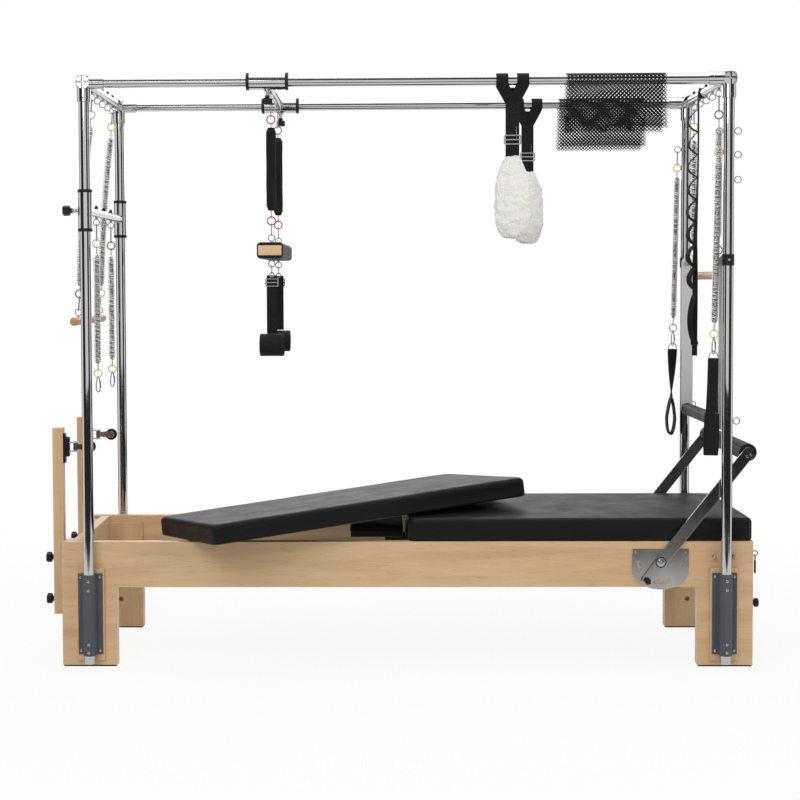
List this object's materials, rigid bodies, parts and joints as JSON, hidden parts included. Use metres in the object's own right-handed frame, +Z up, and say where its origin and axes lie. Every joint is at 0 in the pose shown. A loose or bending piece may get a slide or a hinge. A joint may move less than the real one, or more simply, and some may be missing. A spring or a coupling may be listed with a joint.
{
  "type": "pilates trapeze table",
  "caption": "Pilates trapeze table: a wooden reformer bed under a chrome tube canopy with sliding bars, hanging springs, straps and a trapeze, a push-through bar, a foot bar and loose mats.",
  "frame": {"origin": "centre of the bottom of the bounding box of the whole object, on the floor", "axes": "+Z up, +X along the bed towards the push-through bar and foot bar, -Y towards the near side in the picture"},
  "size_m": [2.5496, 1.077, 2.0955],
  "materials": {
    "chrome": "polished",
    "brushed_steel": "brushed",
    "maple": "clear satin lacquer",
    "vinyl": "matte grained",
    "black_plastic": "satin",
    "webbing": "woven",
    "fleece": "fleece",
    "powder_coat": "satin powder coat"
  },
  "bodies": {
    "frame": {"side_rail_near": "maple", "side_rail_far": "maple", "end_board_left": "maple", "end_board_right": "maple", "top_rail_near": "chrome", "top_rail_far": "chrome", "top_bar_left": "chrome", "top_bar_right": "chrome", "foot_plate_near": "brushed_steel", "foot_plate_far": "brushed_steel", "post_left_near": "chrome", "post_left_far": "chrome", "post_right_near": "chrome", "post_right_far": "chrome", "post_bracket_left_near": "powder_coat", "post_bracket_left_far": "powder_coat", "post_bracket_right_near": "powder_coat", "post_bracket_right_far": "powder_coat"},
    "carriage": {"carriage_board": "maple", "carriage_pad": "vinyl"},
    "wheels_left": {"carriage_wheels_left": "black_plastic"},
    "wheels_right": {"carriage_wheels_right": "black_plastic"},
    "headrest": {"headrest": "vinyl"},
    "mid_bar": {"mid_bar": "chrome"},
    "mid_bar_knob": {"mid_bar_knob": "black_plastic"},
    "trapeze_slider": {"trapeze_slider": "chrome"},
    "left_upper_springs": {"left_upper_spring_near": "chrome", "left_upper_spring_far": "chrome"},
    "roll_down_bar": {"roll_down_bar": "maple"},
    "trapeze_springs": {"trapeze_spring_near": "chrome", "trapeze_spring_far": "chrome"},
    "trapeze_bar": {"trapeze_bar": "vinyl"},
    "right_upper_springs": {"right_upper_spring_near": "chrome", "right_upper_spring_far": "chrome"},
    "hand_bar": {"hand_bar": "maple"},
    "daisy_strap": {"daisy_strap": "webbing"},
    "push_through_bar": {"push_through_bar": "brushed_steel", "push_through_pad": "vinyl"},
    "foot_bar": {"foot_bar": "brushed_steel", "foot_bar_pad": "vinyl"},
    "right_mat": {"right_mat": "vinyl"},
    "left_mat": {"left_mat": "vinyl"},
    "riser_near": {"riser_near": "maple"},
    "pulley_near": {"pulley_near": "black_plastic"},
    "left_lower_spring_near": {"left_lower_spring_near": "chrome"},
    "slider_knob_near": {"slider_knob_near": "black_plastic"},
    "right_lower_spring_near": {"right_lower_spring_near": "chrome"},
    "handle_strap_near": {"handle_strap_near": "webbing"},
    "cuff_near": {"cuff_near": "webbing"},
    "fuzzy_loop_near": {"fuzzy_loop_near": "fleece"},
    "mesh_pad_near": {"mesh_pad_near": "webbing"},
    "riser_far": {"riser_far": "maple"},
    "pulley_far": {"pulley_far": "black_plastic"},
    "left_lower_spring_far": {"left_lower_spring_far": "chrome"},
    "slider_knob_far": {"slider_knob_far": "black_plastic"},
    "right_lower_spring_far": {"right_lower_spring_far": "chrome"},
    "handle_strap_far": {"handle_strap_far": "webbing"},
    "cuff_far": {"cuff_far": "webbing"},
    "fuzzy_loop_far": {"fuzzy_loop_far": "fleece"},
    "mesh_pad_far": {"mesh_pad_far": "webbing"}
  },
  "joints": [
    {"name": "carriage_slide", "type": "slide", "parent": "frame", "child": "carriage", "axis": [1, 0, 0], "range_m": [-0.06, 0], "stiffness_N_per_m": 300, "springref_m": 0.05},
    {"name": "wheels_left_roll", "type": "hinge", "parent": "carriage", "child": "wheels_left", "pos_m": [0.1248, 0.05231, 0.355], "axis": [0, 1, 0], "range_deg": [-180, 180]},
    {"name": "wheels_right_roll", "type": "hinge", "parent": "carriage", "child": "wheels_right", "pos_m": [0.6308, 0.05231, 0.355], "axis": [0, 1, 0], "range_deg": [-180, 180]},
    {"name": "headrest_tilt", "type": "hinge", "parent": "carriage", "child": "headrest", "pos_m": [-0.0112, 0.05231, 0.416], "axis": [0, 1, 0], "range_deg": [-12, 0]},
    {"name": "riser_near_slide", "type": "slide", "parent": "frame", "child": "riser_near", "axis": [0, 0, 1], "range_m": [-0.12, 0]},
    {"name": "pulley_near_swivel", "type": "hinge", "parent": "riser_near", "child": "pulley_near", "pos_m": [-1.1658, -0.17969, 0.776], "axis": [0, 0, 1], "range_deg": [-60, 60]},
    {"name": "riser_far_slide", "type": "slide", "parent": "frame", "child": "riser_far", "axis": [0, 0, 1], "range_m": [-0.12, 0]},
    {"name": "pulley_far_swivel", "type": "hinge", "parent": "riser_far", "child": "pulley_far", "pos_m": [-1.1658, 0.28431, 0.776], "axis": [0, 0, 1], "range_deg": [-60, 60]},
    {"name": "mid_bar_slide", "type": "slide", "parent": "frame", "child": "mid_bar", "axis": [0, 0, 1], "range_m": [-0.4, 0]},
    {"name": "mid_bar_knob_turn", "type": "hinge", "parent": "mid_bar", "child": "mid_bar_knob", "pos_m": [-1.1542, -0.32569, 1.62], "axis": [1, 0, 0], "continuous": true},
    {"name": "roll_down_swing", "type": "hinge", "parent": "frame", "child": "left_upper_springs", "pos_m": [-1.0952, 0.05231, 2.032], "axis": [0, 1, 0], "range_deg": [0, 60]},
    {"name": "roll_down_pull", "type": "slide", "parent": "left_upper_springs", "child": "roll_down_bar", "axis": [0, 0, 1], "range_m": [-0.3, 0], "stiffness_N_per_m": 150, "springref_m": 0.12, "deforming": ["left_upper_spring_near", "left_upper_spring_far"]},
    {"name": "left_lower_spring_near_swing", "type": "hinge", "parent": "mid_bar", "child": "left_lower_spring_near", "pos_m": [-1.0952, -0.10269, 1.587], "axis": [0, 1, 0], "range_deg": [-45, 3]},
    {"name": "left_lower_spring_far_swing", "type": "hinge", "parent": "mid_bar", "child": "left_lower_spring_far", "pos_m": [-1.0952, 0.20731, 1.587], "axis": [0, 1, 0], "range_deg": [-45, 3]},
    {"name": "trapeze_slide", "type": "slide", "parent": "frame", "child": "trapeze_slider", "axis": [1, 0, 0], "range_m": [-0.29, 0.4]},
    {"name": "slider_knob_near_turn", "type": "hinge", "parent": "trapeze_slider", "child": "slider_knob_near", "pos_m": [-0.4542, -0.32569, 2], "axis": [0, 0, 1], "continuous": true},
    {"name": "slider_knob_far_turn", "type": "hinge", "parent": "trapeze_slider", "child": "slider_knob_far", "pos_m": [-0.4542, 0.43031, 2], "axis": [0, 0, 1], "continuous": true},
    {"name": "trapeze_swing", "type": "hinge", "parent": "trapeze_slider", "child": "trapeze_springs", "pos_m": [-0.4542, 0.05231, 2.032], "axis": [0, 1, 0], "range_deg": [-30, 30]},
    {"name": "trapeze_pull", "type": "slide", "parent": "trapeze_springs", "child": "trapeze_bar", "axis": [0, 0, 1], "range_m": [-0.2, 0], "stiffness_N_per_m": 400, "springref_m": 0.15, "deforming": ["trapeze_spring_near", "trapeze_spring_far"]},
    {"name": "cuff_near_swing", "type": "hinge", "parent": "trapeze_bar", "child": "cuff_near", "pos_m": [-0.4542, -0.14769, 1.433], "axis": [0, 1, 0], "range_deg": [-20, 20]},
    {"name": "cuff_far_swing", "type": "hinge", "parent": "trapeze_bar", "child": "cuff_far", "pos_m": [-0.4542, 0.25231, 1.433], "axis": [0, 1, 0], "range_deg": [-20, 20]},
    {"name": "fuzzy_loop_near_swing", "type": "hinge", "parent": "frame", "child": "fuzzy_loop_near", "pos_m": [0.3978, -0.32569, 2.065], "axis": [1, 0, 0], "range_deg": [-60, 15]},
    {"name": "fuzzy_loop_far_swing", "type": "hinge", "parent": "frame", "child": "fuzzy_loop_far", "pos_m": [0.5228, 0.43031, 2.065], "axis": [1, 0, 0], "range_deg": [-15, 60]},
    {"name": "mesh_pad_near_slide", "type": "slide", "parent": "frame", "child": "mesh_pad_near", "axis": [1, 0, 0], "range_m": [-0.1, 0.13]},
    {"name": "mesh_pad_far_slide", "type": "slide", "parent": "frame", "child": "mesh_pad_far", "axis": [1, 0, 0], "range_m": [-0.06, 0.08]},
    {"name": "daisy_strap_swing", "type": "hinge", "parent": "frame", "child": "daisy_strap", "pos_m": [1.1468, 0.10231, 2.065], "axis": [0, 1, 0], "range_deg": [0, 35]},
    {"name": "hand_bar_swing", "type": "hinge", "parent": "frame", "child": "right_upper_springs", "pos_m": [1.1468, 0.05231, 2.032], "axis": [0, 1, 0], "range_deg": [-60, 0]},
    {"name": "hand_bar_pull", "type": "slide", "parent": "right_upper_springs", "child": "hand_bar", "axis": [0, 0, 1], "range_m": [-0.3, 0], "stiffness_N_per_m": 150, "springref_m": 0.12, "deforming": ["right_upper_spring_near", "right_upper_spring_far"]},
    {"name": "right_lower_spring_near_swing", "type": "hinge", "parent": "frame", "child": "right_lower_spring_near", "pos_m": [1.1143, -0.32569, 1.884], "axis": [0, 1, 0], "range_deg": [0, 50]},
    {"name": "handle_near_pull", "type": "slide", "parent": "right_lower_spring_near", "child": "handle_strap_near", "axis": [0, 0, 1], "range_m": [-0.25, 0], "stiffness_N_per_m": 80, "springref_m": 0.08, "deforming": ["right_lower_spring_near"]},
    {"name": "right_lower_spring_far_swing", "type": "hinge", "parent": "frame", "child": "right_lower_spring_far", "pos_m": [1.1143, 0.43031, 1.884], "axis": [0, 1, 0], "range_deg": [0, 50]},
    {"name": "handle_far_pull", "type": "slide", "parent": "right_lower_spring_far", "child": "handle_strap_far", "axis": [0, 0, 1], "range_m": [-0.25, 0], "stiffness_N_per_m": 80, "springref_m": 0.08, "deforming": ["right_lower_spring_far"]},
    {"name": "push_through_swing", "type": "hinge", "parent": "frame", "child": "push_through_bar", "pos_m": [1.1468, 0.05231, 1.438], "axis": [0, 1, 0], "range_deg": [-90, 90]},
    {"name": "foot_bar_turn", "type": "hinge", "parent": "frame", "child": "foot_bar", "pos_m": [0.9238, 0.05231, 0.374], "axis": [0, 1, 0], "range_deg": [-8, 28]},
    {"name": "right_mat_lift", "type": "slide", "parent": "frame", "child": "right_mat", "axis": [0, 0, 1], "range_m": [0, 0.12]},
    {"name": "left_mat_lift", "type": "slide", "parent": "right_mat", "child": "left_mat", "axis": [0, 0, 1], "range_m": [0, 0.3]}
  ],
  "couplings": [
    {"joint": "wheels_left_roll", "follows": "carriage_slide", "rad_per_m": 40.486},
    {"joint": "wheels_right_roll", "follows": "carriage_slide", "rad_per_m": 40.486}
  ]
}
